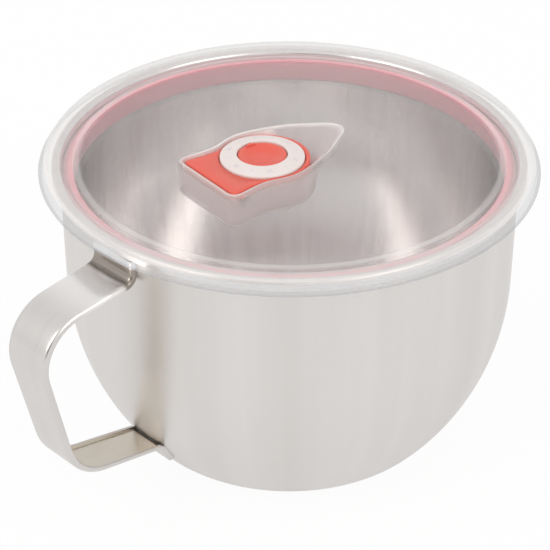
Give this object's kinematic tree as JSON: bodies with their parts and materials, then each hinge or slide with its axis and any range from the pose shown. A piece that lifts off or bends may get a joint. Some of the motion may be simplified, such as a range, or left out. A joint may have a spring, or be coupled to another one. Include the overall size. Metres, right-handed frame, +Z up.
{
  "type": "lidded steel noodle bowl",
  "caption": "Round stainless steel noodle bowl with a strip side handle and a clear push-on lid that has a red seal and a sunken vent flap with a date dial.",
  "frame": {"origin": "centre of the flat base, on the surface the bowl stands on", "axes": "+Z up along the bowl's axis, handle along -X"},
  "size_m": [0.1945, 0.165, 0.1062],
  "materials": {
    "satin_steel": "satin outside, polished inside",
    "polished_steel": "polished",
    "clear_plastic": "clear, slightly milky, gloss",
    "red_silicone": "matt",
    "red_plastic": "satin",
    "white_plastic": "satin"
  },
  "bodies": {
    "bowl": {"bowl": "satin_steel", "handle": "polished_steel"},
    "lid": {"lid_shell": "clear_plastic", "lid_seal": "red_silicone"},
    "flap": {"vent_flap": "red_plastic", "pointer_hub": "red_plastic", "vent_plug": "red_silicone"},
    "dial": {"date_ring": "white_plastic"}
  },
  "joints": [
    {"name": "lid_lift", "type": "slide", "parent": "bowl", "child": "lid", "axis": [0, 0, 1], "range_m": [0, 0.06]},
    {"name": "flap_lift", "type": "hinge", "parent": "lid", "child": "flap", "pos_m": [-0.0297, 0.00349, 0.10241], "axis": [-0.1167, -0.9932, 0], "range_deg": [0, 90]},
    {"name": "date_ring_turn", "type": "hinge", "parent": "flap", "child": "dial", "pos_m": [-0.01112, 0.00131, 0.104], "axis": [0, 0, 1], "continuous": true}
  ]
}
